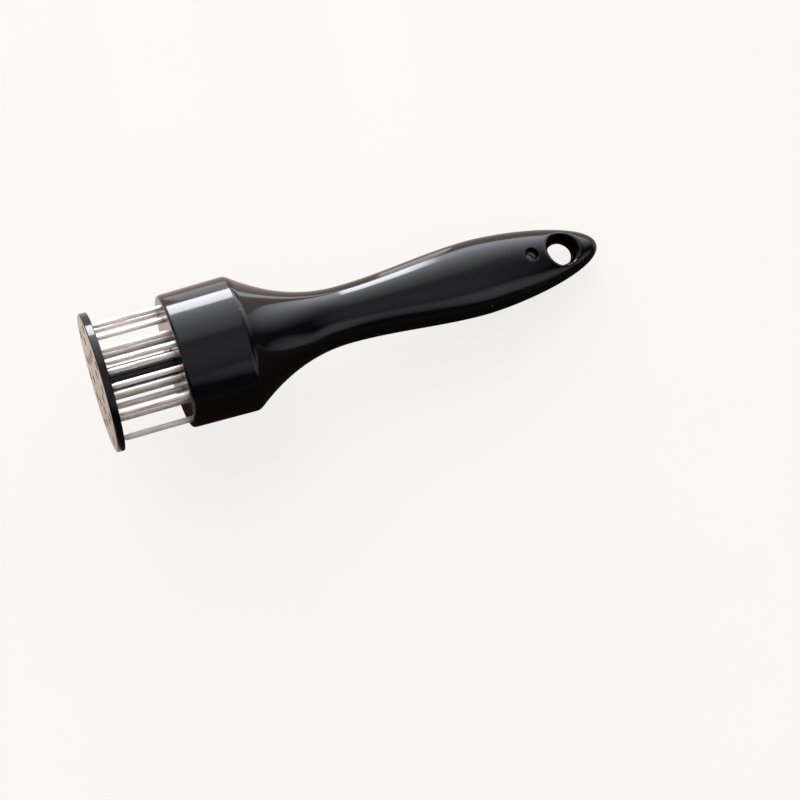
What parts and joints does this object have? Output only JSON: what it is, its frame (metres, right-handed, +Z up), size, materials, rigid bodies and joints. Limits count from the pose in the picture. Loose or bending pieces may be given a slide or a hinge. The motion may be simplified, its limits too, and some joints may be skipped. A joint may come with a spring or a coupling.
{
  "type": "needle meat tenderizer",
  "caption": "Push-type meat tenderizer: oval tapered handle with a hang hole, cup-shaped head of pointed steel needles, and a sprung round guard disc with a hole for each needle.",
  "frame": {"origin": "on the surface the tenderizer lies on, below the middle of its bounding box", "axes": "+X towards the tail with the hang hole, +Z up, +Y to the left seen from the guard disc along +X; the tenderizer's own axis slopes down to the tail by 7.74 degrees, because it lies on the rear edge of its head and on its tail"},
  "size_m": [0.2012, 0.0528, 0.0592],
  "materials": {
    "gloss_black_abs": "glossy moulded black ABS",
    "needle_stainless": "drawn and ground stainless steel",
    "dark_screw_steel": "blackened steel",
    "plated_screw_steel": "zinc-plated steel",
    "spring_steel": "drawn spring wire"
  },
  "bodies": {
    "handle": {"upper_handle": "gloss_black_abs", "lower_handle": "gloss_black_abs", "tail_screw": "dark_screw_steel", "needle_head": "gloss_black_abs", "backing_plate": "gloss_black_abs", "plate_screws": "plated_screw_steel", "return_spring": "spring_steel", "needle_01": "needle_stainless", "needle_02": "needle_stainless", "needle_03": "needle_stainless", "needle_04": "needle_stainless", "needle_05": "needle_stainless", "needle_06": "needle_stainless", "needle_07": "needle_stainless", "needle_08": "needle_stainless", "needle_09": "needle_stainless", "needle_10": "needle_stainless", "needle_11": "needle_stainless", "needle_12": "needle_stainless", "needle_13": "needle_stainless", "needle_14": "needle_stainless", "needle_15": "needle_stainless", "needle_16": "needle_stainless", "needle_17": "needle_stainless", "needle_18": "needle_stainless", "needle_19": "needle_stainless", "needle_20": "needle_stainless", "needle_21": "needle_stainless"},
    "guard": {"guard_disc": "gloss_black_abs", "stop_washer": "plated_screw_steel", "stop_screw": "plated_screw_steel"}
  },
  "joints": [
    {"name": "guard_slide", "type": "slide", "parent": "handle", "child": "guard", "axis": [0.9909, 0, -0.1346], "range_m": [0, 0.026], "stiffness_N_per_m": 300, "springref_m": -0.012, "deforming": ["return_spring"]}
  ]
}
